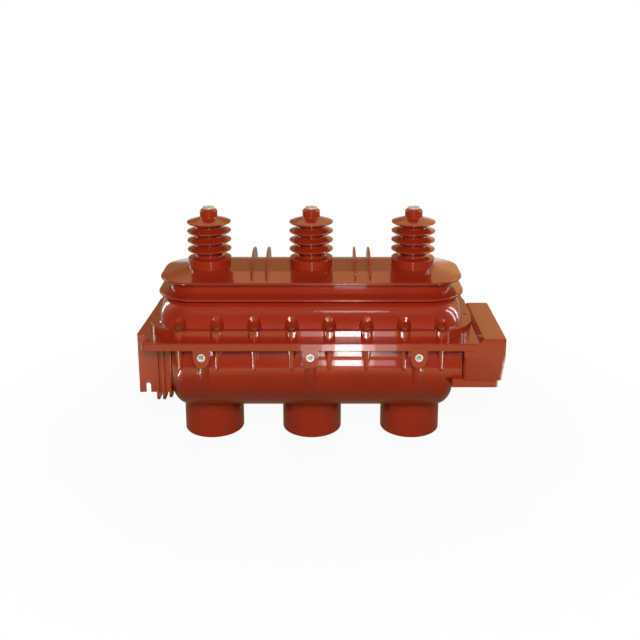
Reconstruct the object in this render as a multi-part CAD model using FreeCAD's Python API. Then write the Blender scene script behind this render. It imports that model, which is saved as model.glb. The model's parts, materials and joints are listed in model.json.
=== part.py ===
"""Three-pole gas insulated switch body in cast epoxy, as an assembly.

Millimetres, +X from the bracket end to the mechanism end, +Y to the rear, +Z up.
The model is laid out about the middle pole axis and the plane the outlets stand on,
and moved to the middle of its base when the files are written.
"""

import math
import os

import FreeCAD
import Part

V = FreeCAD.Vector
X_AXIS = V(1, 0, 0)
Y_AXIS = V(0, 1, 0)
Z_AXIS = V(0, 0, 1)

# Poles and the plane where the two castings meet
POLE_PITCH = 210.0
SPLIT_Z = 253.0

# Fits between pieces
SLIDE_GAP = 0.05
RUN_GAP = 0.05
HEX_GAP = 0.05

# Lower casing: drum of oval section with rounded ends
DRUM_LEFT = 279.5
DRUM_RIGHT = 285.0
DRUM_HALF_Y = 150.0
DRUM_HALF_Z = 120.5
DRUM_SIDE_R = 105.0
DRUM_Z = 187.0
DRUM_END_R = 32.0
WALL = 12.0

# Lower flange and the rail along its front
LOWER_FLANGE_T = 16.0
LOWER_FLANGE_HALF_X = 325.5
RAIL_FRONT = 170.0
RAIL_CORNER_R = 8.0
EDGE_R = 1.6

# Upper flange
UPPER_FLANGE_T = 18.0
FLANGE_HALF_X = 323.0
FLANGE_HALF_Y = 150.0
FLANGE_CORNER_R = 80.0
END_PAD_OUT = 2.5
END_PAD_FRONT = 60.0
END_PAD_REAR = 48.0

# Flange screws, M8, in two rows along the long sides
BOLT_PITCH = 73.0
BOLTS_PER_SIDE = 8
BOLT_Y = 139.0
BOSS_R = 16.0
COLUMN_R = 10.6
COLUMN_TIP_R = 4.6
COLUMN_FRONT = 152.4
COLUMN_TIP_Z = 193.0
SCOOP_R = 14.5
SCREW_R = 4.0
SCREW_LENGTH = 40.0
SCREW_HEAD_R = 6.5
SCREW_HEAD_H = 8.0
SCREW_HOLE_R = 4.5
COUNTERBORE_R = 8.8
COUNTERBORE_DEPTH = 6.0
WASHER_R = 8.0
WASHER_T = 1.6
INSERT_R = 6.5
INSERT_LENGTH = 28.0

# Locating pins at the flange ends and the fixing hole in the rail corner
PIN_R = 3.0
PIN_X = 314.4
PIN_Y = 49.5
PIN_DEPTH = 12.0
PIN_SUNK = 5.0
CORNER_HOLE_R = 4.5
CORNER_HOLE_X = 314.5
CORNER_HOLE_Y = 153.0

# Seal between the castings, in a groove of the lower flange
SEAL_HALF_X = 298.0
SEAL_HALF_Y = 122.0
SEAL_CORNER_R = 60.0
SEAL_WIDTH = 7.0
SEAL_DEPTH = 4.0

# Outlet shrouds below the drum and the terminals inside them
SHROUD_R = 62.5
SHROUD_WALL = 7.0
SHROUD_CEILING_Z = 56.0
TERMINAL_FACE_Z = 30.0
TERMINAL_R = 16.0
TERMINAL_THREAD_R = 6.9
TERMINAL_THREAD_DEPTH = 30.0
TERMINAL_BOSS_R = 24.0
TERMINAL_BOSS_ROOT_R = 30.0
FLOOR_BOSS_R = 27.0
FLOOR_BOSS_Z = 104.0
TERMINAL_FLANGE_R = 24.0
TERMINAL_FLANGE_T = 8.0

# Earth lugs on the front of the rail
LUG_Z = 224.0
LUG_HALF_W = 16.2
LUG_HALF_H = 22.4
LUG_PROUD = 0.6
LUG_LIP = 0.8
LUG_BACK = 114.0
GUSSET_R = 12.5
GUSSET_SUNK = 5.0
GUSSET_RISE = 8.0
GUSSET_TOP_ANGLE = 15.0
GUSSET_END_ANGLE = 34.5
JOINT_LINE_X = 16.5
JOINT_LINE_W = 0.7
JOINT_LINE_DEPTH = 0.5

# Support bracket at the left end
BRACKET_LEFT = 343.0
BRACKET_LEFT_REAR = 335.0
BRACKET_FRONT = 117.0
BRACKET_REAR = 89.0
BRACKET_T = 6.0
BRACKET_TOP_T = 7.0
BRACKET_INNER = 255.0
BRACKET_BOTTOM = 129.0
BRACKET_STEP_X = 283.0
BRACKET_STEP_Z = 160.0
SLOT_X = 325.8
SLOT_R = 5.0
SLOT_TOP = 149.5
FIN_X = 305.3
FIN_PITCH = 11.5
FIN_COUNT = 3
FIN_T = 4.6
FIN_BOTTOM = 114.0
FIN_OUT = 9.0
FIN_DEPTH = 30.0
FIN_TIP_R = 9.0

# Housing for the mechanism at the right end
HOUSING_LEFT = 298.0
HOUSING_HEAD_GAP = 0.5
HOUSING_RIGHT = 377.5
HOUSING_FRONT = 168.5
HOUSING_REAR = 47.5
HOUSING_TOP = 261.5
HOUSING_BAND_Z = 224.5
HOUSING_FLOOR_Z = 176.0
HOUSING_STEP_Z = 174.5
HOUSING_BOTTOM = 157.0
HOUSING_DRAFT = 5.2
HOUSING_REAR_DRAFT = 2.6
HOUSING_SETBACK = 5.5
HOUSING_STEP_LEFT = 276.0
HOUSING_WALL = 8.0
HOUSING_BACK_X = DRUM_RIGHT + WALL
WEB_SUNK = 0.5
HOUSING_LOW_CEILING = 246.0
HOUSING_HIGH_X = 333.0
HOUSING_CORNER_R = 4.0
FIX_BOSS_R = 9.0
FIX_BOSS_DEPTH = 30.0
FIX_BOSS_FACE = 370.0
FIX_INSERT_R = 4.5
FIX_THREAD_R = 2.5
FIX_INSERT_LENGTH = 14.0
FIX_Y = (-153.0, 31.0)
FIX_Z = (184.0, 238.0)

# Upper casing above the flange, as half sizes and corner radius at each level
WALL_BASE = (307.0, 137.0, 66.0)
WALL_MID = (303.5, 126.0, 66.0)
WALL_TOP = (296.0, 98.0, 64.0)
WALL_MID_Z = 291.0
WALL_TOP_Z = 312.0
SKIRT2_RIM = (311.0, 108.0, 80.0)
SKIRT2_Z = 316.0
NECK = (290.0, 82.0, 62.0)
NECK_Z = 324.5
SKIRT1_ROOT_Z = 341.0
SKIRT1_RIM = (307.0, 95.0, 68.0)
SKIRT1_Z = 346.0
RIM_T = 4.4
PLATEAU = (257.0, 47.0, 46.0)
PLATEAU_Z = 360.5
CASE_INSIDE = (286.0, 116.0, 58.0)
CASE_INSIDE_MID = (284.0, 111.0, 56.0)
CASE_INSIDE_TOP = (280.0, 79.0, 50.0)
CASE_INSIDE_NECK = (276.0, 68.0, 48.0)
CASE_INSIDE_MID_Z = 283.0
CASE_ROOF_Z = 345.0

# Barrier fins on the roof, two pairs
FIN_PAIR_X = 104.0
FIN_PAIR_GAP = 29.5
ROOF_FIN_T = 4.0
ROOF_FIN_HALF_Y = 73.0
ROOF_FIN_HEIGHT = 39.5
ROOF_FIN_BASE_Z = 355.5

# Bushings
SHED_R = 44.8
SHED_PITCH = 19.0
SHED_TOP_Z = 453.0
SHED_COUNT = 4
SHED_RISE = 7.5
SHED_EDGE_T = 3.4
BUSHING_CORE_R = 28.0
COLLAR_R = 45.0
COLLAR_TOP_Z = 378.5
KNOB_FOOT_Z = 463.0
KNOB_R = 17.8
KNOB_TOP_Z = 481.0
CAP_R = 12.2
CAP_TOP_Z = 484.0
ROD_R = 10.0
TOP_THREAD_R = 5.1
TOP_THREAD_DEPTH = 26.0

# Main shaft of hexagonal bar with turned ends
SHAFT_Z = 224.0
HEX_AF = 36.0
JOURNAL_R = 14.0
END_PLAY = 0.5
BUSH_R = 17.0
BUSH_LENGTH = 20.0
BEARING_BOSS_R = 22.0
BEARING_BOSS_LENGTH = 25.0
DRIVE_SQUARE = 18.0

# Moving blades
BLADE_T = 5.0
BLADE_HALF_W = 13.0
BLADE_TIP_R = 100.0
HUB_R = 38.0
KNIFE_T = 8.0
COLLAR_OUT_R = 29.0
COLLAR_T = 12.0
PRESS_BOLT_R = 3.0
PRESS_BOLT_AT = 62.0
PRESS_HEAD_R = 5.0
PRESS_HEAD_H = 4.0
SPACER_R = 7.0
SPRING_R = 8.5
SPRING_T = 2.2

# Three positions, 45 degrees apart: closed, open, earthed
STEP_ANGLE = 45.0

# Fixed contacts
CONTACT_FOOT_R = 16.0
CONTACT_FOOT_T = 6.0
CONTACT_HALF_W = 13.0
CONTACT_OVERLAP = 20.0
ROD_END_Z = 338.0
FRAME_T = 3.0
ROOF_BOSS_R = 22.0
SADDLE_R = 42.0
SADDLE_SLOT = 25.0
SADDLE_RISE = 22.0
STEM_HALF_W = 18.0
FOOT_SCREW_R = 2.5
FOOT_SCREW_HEAD_R = 4.25
FOOT_SCREW_HEAD_H = 5.0
FOOT_SCREW_AT = 14.0

# Earth inserts through the lugs
EARTH_R = 8.0
EARTH_PROUD = 0.6
EARTH_THREAD_R = 4.25
EARTH_THREAD_DEPTH = 22.0
EARTH_FOOT_FACE = 118.0

# Arc plates
ARC_ANGLES = (15.0, 20.0, 25.0, 30.0)
ARC_T = 1.6
ARC_INNER_R = 84.0
ARC_OUTER_R = 112.0
ARC_HALF_W = 24.0
ARC_SLOT_HALF = 13.0
ARC_SLOT_DEPTH = 22.0
ARC_BRIDGE_OUT = 48.0

# Seal housing at the right end of the shaft
SEAL_SPIGOT_R = 22.0
SEAL_SPIGOT_IN = 15.0
SEAL_FLANGE_R = 36.0
SEAL_FLANGE_T = 10.0
SEAL_FLAT = 21.0
SEAL_SCREW_AT = 30.0
SEAL_SCREW_ANGLE = 30.0
SEAL_SCREW_R = 3.0
SEAL_SCREW_HEAD_R = 5.0
SEAL_SCREW_HEAD_H = 6.0
SEAL_SCREW_LENGTH = 20.0
SHAFT_SEAL_W = 4.0
SHAFT_SEAL_DEPTH = 3.0
SHAFT_SEAL_IN = (12.0, 26.0)
SPIGOT_SEAL_W = 3.0
SPIGOT_SEAL_DEPTH = 2.0
SPIGOT_SEAL_OUT = 3.0

# Drive lever on the shaft end
LEVER_T = 16.0
LEVER_CLEARANCE = 2.0
LEVER_HUB_R = 17.0
LEVER_ARM = 30.0
LEVER_EYE_R = 9.0
LEVER_DROP = 30.0
LEVER_PIN_R = 6.0
LEVER_SHANK_R = 4.5
LEVER_PIN_OUT = 20.0
LEVER_WASHER_R = 13.0
LEVER_WASHER_T = 3.0
LEVER_SCREW_R = 4.0
LEVER_SCREW_LENGTH = 20.0

# Rupture disc on the rear
RUPTURE_X = 105.0
RUPTURE_PAD_R = 48.0
RUPTURE_FACE_Y = 158.0
RUPTURE_BORE_R = 30.0
RUPTURE_SEAT_R = 38.0
RUPTURE_SEAT_DEPTH = 4.0
RUPTURE_GASKET_T = 2.5
RUPTURE_DISC_T = 1.5
RUPTURE_DOME = 7.0
RUPTURE_RING_T = 8.0
RUPTURE_SCREW_AT = 43.5
RUPTURE_SCREWS = 8
RUPTURE_SCREW_R = 2.5
RUPTURE_SCREW_HEAD_R = 4.25
RUPTURE_SCREW_HEAD_H = 5.0
RUPTURE_SCREW_LENGTH = 20.0

# Gas filling valve on the rear
VALVE_X = -105.0
VALVE_BOSS_R = 16.0
VALVE_HEX_AF = 22.0
VALVE_HEX_T = 7.0
VALVE_THREAD_R = 7.0
VALVE_STEM_R = 6.0
VALVE_STEM_OUT = 12.0
VALVE_CAP_R = 9.0
VALVE_CAP_H = 15.0
VALVE_BORE_R = 2.0

# Desiccant cartridge on the floor of the drum
DESICCANT_X = -105.0
DESICCANT_PAD_R = 21.0
DESICCANT_PAD_Z = 88.0
DESICCANT_R = 18.0
DESICCANT_H = 52.0

POLES = (-POLE_PITCH, 0.0, POLE_PITCH)
BUSH_FACE = WALL - DRUM_LEFT + BEARING_BOSS_LENGTH
SPIGOT_FACE = DRUM_RIGHT - WALL - SEAL_SPIGOT_IN
SHAFT_HEX_LEFT = BUSH_FACE + END_PLAY
SHAFT_HEX_RIGHT = SPIGOT_FACE - END_PLAY
DRIVE_LEFT = HOUSING_BACK_X + SEAL_FLANGE_T + SEAL_SCREW_HEAD_H + LEVER_CLEARANCE
HOUSING_HEAD_LEFT = FLANGE_HALF_X + END_PAD_OUT + HOUSING_HEAD_GAP
FLANGE_TOP = SPLIT_Z + UPPER_FLANGE_T
RAIL_BOTTOM = SPLIT_Z - LOWER_FLANGE_T


def bolt_positions():
    """Centres of the flange screws, the front row first."""
    start = -BOLT_PITCH * (BOLTS_PER_SIDE - 1) / 2
    row = [start + BOLT_PITCH * index for index in range(BOLTS_PER_SIDE)]
    return [(x, side * BOLT_Y) for side in (-1, 1) for x in row]


def cylinder(radius, length, base, axis=Z_AXIS):
    return Part.makeCylinder(radius, length, base, axis)


def ring(outer, inner, length, base, axis=Z_AXIS):
    return cylinder(outer, length, base, axis).cut(cylinder(inner, length, base, axis))


def block(x0, x1, y0, y1, z0, z1):
    return Part.makeBox(x1 - x0, y1 - y0, z1 - z0, V(x0, y0, z0))


def join(shapes):
    solid = shapes[0]
    for shape in shapes[1:]:
        solid = solid.fuse(shape)
    return solid


def fuse_all(shapes):
    """Join pieces and merge the faces that continue one another."""
    return join(shapes).removeSplitter()


def cut_all(solid, tools):
    for tool in tools:
        solid = solid.cut(tool)
    return solid


def rounded_wire(x0, x1, y0, y1, radius, z):
    """Rectangle with round corners in a level plane, always with the same eight edges."""
    corners = [(x1 - radius, y0 + radius, -90), (x1 - radius, y1 - radius, 0),
               (x0 + radius, y1 - radius, 90), (x0 + radius, y0 + radius, 180)]
    points = []
    for cx, cy, start in corners:
        for turn in (0, 45, 90):
            angle = math.radians(start + turn)
            points.append(V(cx + radius * math.cos(angle), cy + radius * math.sin(angle), z))
    edges = []
    for corner in range(4):
        first, middle, last = points[3 * corner:3 * corner + 3]
        edges.append(Part.Arc(first, middle, last).toShape())
        edges.append(Part.makeLine(last, points[(3 * corner + 3) % 12]))
    return Part.Wire(edges)


def oblong(sizes, z):
    half_x, half_y, radius = sizes
    return rounded_wire(-half_x, half_x, -half_y, half_y, radius, z)


def rounded_block(x0, x1, y0, y1, radius, z0, z1):
    face = Part.Face(rounded_wire(x0, x1, y0, y1, radius, z0))
    return face.extrude(V(0, 0, z1 - z0))


def soften(solid, radius, chosen):
    """Round the edges that the test picks."""
    return solid.makeFillet(radius, [edge for edge in solid.Edges if chosen(edge)])


def level_edge(*heights):
    """Test for edges that lie level at one of the heights."""
    def chosen(edge):
        box = edge.BoundBox
        return box.ZLength < 1e-6 and any(abs(box.ZMin - z) < 1e-6 for z in heights)
    return chosen


def profile_wire(points):
    """Closed outline in the XZ plane from corners of (x, z, corner radius)."""
    edges = []
    ends = []
    count = len(points)
    for index, (x, z, radius) in enumerate(points):
        here = V(x, 0, z)
        if radius == 0:
            ends.append((here, here))
            continue
        before = points[index - 1]
        after = points[(index + 1) % count]
        back = (V(before[0], 0, before[1]) - here).normalize()
        onward = (V(after[0], 0, after[1]) - here).normalize()
        half = back.getAngle(onward) / 2
        inward = (back + onward).normalize()
        start = here + back * (radius / math.tan(half))
        end = here + onward * (radius / math.tan(half))
        middle = here + inward * (radius / math.sin(half) - radius)
        edges.append(Part.Arc(start, middle, end).toShape())
        ends.append((start, end))
    for index in range(count):
        start = ends[index][1]
        end = ends[(index + 1) % count][0]
        if start.distanceToPoint(end) > 1e-6:
            edges.append(Part.makeLine(start, end))
    return Part.Wire(Part.__sortEdges__(edges))


def turned(points, base, axis=Z_AXIS):
    """Turn a profile of (radius, height, corner radius) about an axis through base."""
    solid = Part.Face(profile_wire(points)).revolve(V(0, 0, 0), Z_AXIS, 360)
    solid.Placement = FreeCAD.Placement(base, FreeCAD.Rotation(Z_AXIS, axis))
    return solid


def hexagon(across, length, base, axis=Z_AXIS):
    radius = across / math.sqrt(3)
    corners = [V(radius * math.cos(math.radians(60 * k)), radius * math.sin(math.radians(60 * k)), 0)
               for k in range(6)]
    solid = Part.Face(Part.makePolygon(corners + corners[:1])).extrude(V(0, 0, length))
    solid.Placement = FreeCAD.Placement(base, FreeCAD.Rotation(Z_AXIS, axis))
    return solid


def cap_screw(shank_r, length, head_r, head_h, seat, axis):
    """Socket head screw: seat is under the head and axis points from it to the head's top."""
    head = cylinder(head_r, head_h, seat, axis)
    edge_top = [edge for edge in head.Edges if edge.Length < 7 * head_r
                and (edge.CenterOfMass - seat).dot(axis) > head_h * 0.9]
    head = head.makeChamfer(head_h * 0.1, edge_top)
    socket = hexagon(shank_r * 1.5, head_h * 0.55, seat + axis * (head_h * 0.45), axis)
    shank = cylinder(shank_r, length, seat - axis * length, axis)
    return head.cut(socket).fuse(shank).removeSplitter()


def at_rest(shape):
    """Turn a piece drawn with the blades upright to the open position."""
    turned_shape = shape.copy()
    turned_shape.rotate(V(0, 0, SHAFT_Z), X_AXIS, STEP_ANGLE)
    return turned_shape


def drum_section(shrink, x):
    """Oval section of the drum, of four tangent arcs, smaller by a wall all round."""
    reach = DRUM_HALF_Y - DRUM_SIDE_R
    crown_r = (reach ** 2 + DRUM_HALF_Z ** 2 - DRUM_SIDE_R ** 2) / (2 * (DRUM_HALF_Z - DRUM_SIDE_R))
    drop = crown_r - DRUM_HALF_Z
    lean = math.atan2(drop, reach)
    meeting = V(0, math.cos(lean), math.sin(lean))
    edges = []
    for side in (1, -1):
        centre = V(x, side * reach, DRUM_Z)
        radius = DRUM_SIDE_R - shrink
        first = centre + V(0, side * meeting.y, -meeting.z) * radius
        last = centre + V(0, side * meeting.y, meeting.z) * radius
        edges.append(Part.Arc(first, centre + V(0, side * radius, 0), last).toShape())
        centre = V(x, 0, DRUM_Z - side * drop)
        radius = crown_r - shrink
        first = centre + V(0, meeting.y, side * meeting.z) * radius
        last = centre + V(0, -meeting.y, side * meeting.z) * radius
        edges.append(Part.Arc(first, centre + V(0, 0, side * radius), last).toShape())
    return Part.Face(Part.Wire(Part.__sortEdges__(edges)))


def drum(shrink):
    """Drum with rounded ends, smaller by a wall all round."""
    length = DRUM_LEFT + DRUM_RIGHT - 2 * shrink
    body = drum_section(shrink, shrink - DRUM_LEFT).extrude(V(length, 0, 0))
    return soften(body, DRUM_END_R - shrink, lambda edge: edge.BoundBox.XLength < 1e-6)


def lower_drum(shrink):
    """The drum below the plane where the castings meet."""
    above = block(-DRUM_LEFT, DRUM_RIGHT, -DRUM_HALF_Y, DRUM_HALF_Y, SPLIT_Z, DRUM_Z + DRUM_HALF_Z)
    return drum(shrink).cut(above)


# Upper casing

def skirt(lower, lower_z, rim, rim_z, upper, upper_z):
    """Drip skirt: out to a thin rounded rim and back in above it."""
    levels = [oblong(lower, lower_z), oblong(rim, rim_z), oblong(rim, rim_z + RIM_T),
              oblong(upper, upper_z)]
    body = Part.makeLoft(levels, True, True)
    return soften(body, RIM_T * 0.45, level_edge(rim_z, rim_z + RIM_T))


def upper_flange():
    pieces = [Part.Face(oblong((FLANGE_HALF_X, FLANGE_HALF_Y, FLANGE_CORNER_R), SPLIT_Z))
              .extrude(V(0, 0, UPPER_FLANGE_T))]
    pieces.append(rounded_block(-FLANGE_HALF_X - END_PAD_OUT, FLANGE_HALF_X + END_PAD_OUT,
                                -END_PAD_FRONT, END_PAD_REAR, END_PAD_OUT * 2, SPLIT_Z, FLANGE_TOP))
    for x, y in bolt_positions():
        pieces.append(cylinder(BOSS_R, UPPER_FLANGE_T, V(x, y, SPLIT_Z)))
    return fuse_all(pieces)


def casing_wall():
    """Barrelled wall between the flange and the lower skirt, scooped above each screw."""
    levels = [oblong(WALL_BASE, FLANGE_TOP), oblong(WALL_MID, WALL_MID_Z), oblong(WALL_TOP, WALL_TOP_Z)]
    wall = Part.makeLoft(levels, True, False)
    scoops = [turned([(0, 0, 0), (SCOOP_R, 0, 0), (SCOOP_R, WALL_TOP_Z - FLANGE_TOP, 0),
                      (0, WALL_TOP_Z - FLANGE_TOP + SCOOP_R, 0)], V(x, y, FLANGE_TOP))
              for x, y in bolt_positions()]
    return cut_all(wall, scoops)


def bushing_profile():
    """Half section of one bushing, from the roof up to the knob."""
    points = [(0, PLATEAU_Z - 6, 0), (COLLAR_R, PLATEAU_Z - 6, 0), (COLLAR_R - 0.6, COLLAR_TOP_Z, 1.6),
              (BUSHING_CORE_R, COLLAR_TOP_Z + 3.0, 2.5)]
    for index in range(SHED_COUNT):
        rim = SHED_TOP_Z - SHED_PITCH * (SHED_COUNT - 1 - index)
        points.append((BUSHING_CORE_R, rim + 1.5, 2.0))
        points.append((SHED_R, rim - SHED_EDGE_T / 2, SHED_EDGE_T * 0.42))
        points.append((SHED_R, rim + SHED_EDGE_T / 2, SHED_EDGE_T * 0.42))
        if index < SHED_COUNT - 1:
            points.append((BUSHING_CORE_R, rim + SHED_RISE, 2.5))
    points += [(KNOB_R, KNOB_FOOT_Z, 1.5), (KNOB_R, KNOB_TOP_Z - 3.5, 3.0),
               (CAP_R + 0.8, KNOB_TOP_Z, 0.6), (0, KNOB_TOP_Z, 0)]
    return points


def roof_fins():
    fins = []
    for pair in (-FIN_PAIR_X, FIN_PAIR_X):
        for side in (-0.5, 0.5):
            x = pair + side * FIN_PAIR_GAP - ROOF_FIN_T / 2
            centre = V(x, 0, ROOF_FIN_BASE_Z)
            leaf = Part.Ellipse(centre + V(0, ROOF_FIN_HALF_Y, 0),
                                centre + V(0, 0, ROOF_FIN_HEIGHT), centre)
            fin = Part.Face(Part.Wire([leaf.toShape()])).extrude(V(ROOF_FIN_T, 0, 0))
            fin = soften(fin, ROOF_FIN_T * 0.4, lambda edge: edge.BoundBox.XLength < 1e-6)
            below = block(x - 1, x + ROOF_FIN_T + 1, -ROOF_FIN_HALF_Y - 1, ROOF_FIN_HALF_Y + 1,
                          ROOF_FIN_BASE_Z - ROOF_FIN_HEIGHT - 1, SKIRT1_Z + RIM_T)
            fins.append(fin.cut(below))
    return fins


def upper_cavity():
    levels = [oblong(CASE_INSIDE, SPLIT_Z), oblong(CASE_INSIDE_MID, CASE_INSIDE_MID_Z),
              oblong(CASE_INSIDE_TOP, WALL_TOP_Z), oblong(CASE_INSIDE_NECK, NECK_Z),
              oblong(CASE_INSIDE_NECK, CASE_ROOF_Z)]
    return Part.makeLoft(levels, True, True)


def make_upper_casing():
    shell = [upper_flange(), casing_wall()]
    shell.append(skirt(WALL_TOP, WALL_TOP_Z, SKIRT2_RIM, SKIRT2_Z, NECK, NECK_Z))
    neck = Part.Face(oblong(NECK, NECK_Z)).extrude(V(0, 0, SKIRT1_ROOT_Z - NECK_Z))
    shell.append(neck)
    shell.append(skirt(NECK, SKIRT1_ROOT_Z, SKIRT1_RIM, SKIRT1_Z, PLATEAU, PLATEAU_Z))
    shell += roof_fins()
    shell += [turned(bushing_profile(), V(x, 0, 0)) for x in POLES]
    casing = fuse_all(shell).cut(upper_cavity())
    casing = fuse_all([casing] + [cylinder(ROOF_BOSS_R, CASE_ROOF_Z + 3 - ROD_END_Z - FRAME_T,
                                           V(x, 0, ROD_END_Z + FRAME_T)) for x in POLES])
    holes = []
    for x in POLES:
        holes.append(cylinder(ROD_R, KNOB_TOP_Z - ROD_END_Z, V(x, 0, ROD_END_Z)))
    for x, y in bolt_positions():
        holes.append(cylinder(SCREW_HOLE_R, UPPER_FLANGE_T, V(x, y, SPLIT_Z)))
        holes.append(cylinder(COUNTERBORE_R, COUNTERBORE_DEPTH, V(x, y, FLANGE_TOP - COUNTERBORE_DEPTH)))
    for x in (-PIN_X, PIN_X):
        for y in (-PIN_Y, PIN_Y):
            holes.append(cylinder(PIN_R, UPPER_FLANGE_T, V(x, y, SPLIT_Z)))
    return cut_all(casing, holes)


# Lower casing

def lower_flange():
    plate = Part.Face(oblong((LOWER_FLANGE_HALF_X, FLANGE_HALF_Y, FLANGE_CORNER_R), RAIL_BOTTOM))
    pieces = [plate.extrude(V(0, 0, LOWER_FLANGE_T))]
    rail = rounded_block(-LOWER_FLANGE_HALF_X, LOWER_FLANGE_HALF_X - RAIL_CORNER_R / 2, -RAIL_FRONT, 0,
                         RAIL_CORNER_R, RAIL_BOTTOM, SPLIT_Z)
    front = [edge for edge in rail.Edges if edge.BoundBox.ZLength < 1e-6
             and edge.BoundBox.YMax < -RAIL_FRONT + RAIL_CORNER_R + 1e-6]
    pieces.append(rail.makeFillet(EDGE_R, front))
    for x, y in bolt_positions():
        if y > 0:
            pieces.append(cylinder(BOSS_R, LOWER_FLANGE_T, V(x, y, RAIL_BOTTOM)))
    return pieces + columns()


def columns():
    """Half-round columns below the screws, tapering into the drum with a round tip."""
    pieces = []
    for x, y in bolt_positions():
        side = math.copysign(1, y)
        top = V(x, side * (COLUMN_FRONT - COLUMN_R), RAIL_BOTTOM + LOWER_FLANGE_T / 8)
        tip = V(x, side * (COLUMN_FRONT - COLUMN_TIP_R), COLUMN_TIP_Z)
        length = top.distanceToPoint(tip)
        pieces.append(Part.makeCone(COLUMN_R, COLUMN_TIP_R, length, top, tip - top))
        pieces.append(Part.makeSphere(COLUMN_TIP_R, tip))
    return pieces


def lug_oval(x, y, inset):
    """Upright oval of a lug, with its four quarters starting from the top."""
    centre = V(x, y, LUG_Z)
    return Part.Ellipse(centre + V(0, 0, LUG_HALF_H - inset), centre + V(LUG_HALF_W - inset, 0, 0), centre)


def earth_lugs():
    """Lugs hanging below the rail: an arch, a raised oval face and a round gusset down the drum."""
    lugs = []
    for x in POLES:
        left = V(x - LUG_HALF_W, -RAIL_FRONT, LUG_Z)
        right = V(x + LUG_HALF_W, -RAIL_FRONT, LUG_Z)
        rise = V(0, 0, SPLIT_Z - LOWER_FLANGE_T / 2 - LUG_Z)
        bottom = Part.ArcOfEllipse(lug_oval(x, -RAIL_FRONT, 0), math.pi / 2, 3 * math.pi / 2)
        sides = [Part.makeLine(left, left + rise), Part.makeLine(left + rise, right + rise),
                 Part.makeLine(right + rise, right)]
        arch = Part.Face(Part.Wire(Part.__sortEdges__([bottom.toShape()] + sides)))
        lugs.append(arch.extrude(V(0, RAIL_FRONT - LUG_BACK, 0)))
        raised = Part.Face(Part.Wire([lug_oval(x, -RAIL_FRONT - LUG_PROUD, LUG_LIP).toShape()]))
        lugs.append(raised.extrude(V(0, 2 * LUG_PROUD, 0)))
        lugs.append(gusset(x))
    return lugs


def gusset(x):
    """Round rib bent about nearly the same centre as the side of the drum, so that it fades downwards."""
    centre = V(x, DRUM_SIDE_R - DRUM_HALF_Y, DRUM_Z + GUSSET_RISE)
    start = centre - V(0, DRUM_SIDE_R - GUSSET_SUNK, 0)
    end = Part.Face(Part.Wire(Part.Circle(start, Z_AXIS, GUSSET_R).toShape()))
    end.rotate(centre, X_AXIS, -GUSSET_TOP_ANGLE)
    return end.revolve(centre, X_AXIS, GUSSET_TOP_ANGLE + GUSSET_END_ANGLE)


def shrouds():
    return [turned([(0, 0, 0), (SHROUD_R, 0, 1.5), (SHROUD_R, DRUM_Z - DRUM_HALF_Z / 2, 0),
                    (0, DRUM_Z - DRUM_HALF_Z / 2, 0)], V(x, 0, 0)) for x in POLES]


def bracket_plate(y0, y1):
    outline = [V(-BRACKET_LEFT, y0, SPLIT_Z), V(-BRACKET_LEFT, y0, BRACKET_BOTTOM),
               V(-BRACKET_STEP_X, y0, BRACKET_BOTTOM), V(-BRACKET_STEP_X, y0, BRACKET_STEP_Z),
               V(-BRACKET_INNER, y0, BRACKET_STEP_Z), V(-BRACKET_INNER, y0, SPLIT_Z)]
    plate = Part.Face(Part.makePolygon(outline + outline[:1])).extrude(V(0, y1 - y0, 0))
    slot = block(-SLOT_X - SLOT_R, -SLOT_X + SLOT_R, y0, y1, BRACKET_BOTTOM - 1, SLOT_TOP - SLOT_R)
    slot = slot.fuse(cylinder(SLOT_R, y1 - y0, V(-SLOT_X, y0, SLOT_TOP - SLOT_R), Y_AXIS))
    return plate.cut(slot)


def bracket_fins(y_out, direction):
    """Ribs across the plate, standing out from it and hanging below it with a round tip."""
    fins = []
    for index in range(FIN_COUNT):
        x = -FIN_X + FIN_PITCH * index
        top = RAIL_BOTTOM if index < FIN_COUNT - 1 else BRACKET_STEP_Z
        out = FIN_OUT if index < FIN_COUNT - 1 else 0
        y0 = y_out - direction * out
        y1 = y_out + direction * FIN_DEPTH
        low, high = sorted((y0, y1))
        outline = [(low, top, 0), (low, FIN_BOTTOM, FIN_TIP_R), (high, FIN_BOTTOM, FIN_TIP_R), (high, top, 0)]
        face = Part.Face(profile_wire(outline))
        face.rotate(V(0, 0, 0), Z_AXIS, 90)
        fin = face.extrude(V(FIN_T, 0, 0))
        fin.translate(V(x - FIN_T / 2, 0, 0))
        fins.append(fin)
    return fins


def bracket():
    top = [V(-BRACKET_LEFT, -BRACKET_FRONT, SPLIT_Z - BRACKET_TOP_T),
           V(-BRACKET_LEFT_REAR, BRACKET_REAR, SPLIT_Z - BRACKET_TOP_T),
           V(-FLANGE_HALF_X + FLANGE_CORNER_R / 2, BRACKET_REAR, SPLIT_Z - BRACKET_TOP_T),
           V(-FLANGE_HALF_X + FLANGE_CORNER_R / 2, -BRACKET_FRONT, SPLIT_Z - BRACKET_TOP_T)]
    pieces = [Part.Face(Part.makePolygon(top + top[:1])).extrude(V(0, 0, BRACKET_TOP_T))]
    pieces.append(bracket_plate(-BRACKET_FRONT, -BRACKET_FRONT + BRACKET_T))
    rear = bracket_plate(BRACKET_REAR - BRACKET_T, BRACKET_REAR)
    slant = BRACKET_LEFT - BRACKET_LEFT_REAR
    rear = rear.cut(block(-BRACKET_LEFT, -BRACKET_LEFT + slant, 0, BRACKET_REAR + 1, BRACKET_BOTTOM, SPLIT_Z))
    pieces.append(rear)
    pieces += bracket_fins(-BRACKET_FRONT, 1)
    pieces += bracket_fins(BRACKET_REAR, -1)
    return pieces


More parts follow.
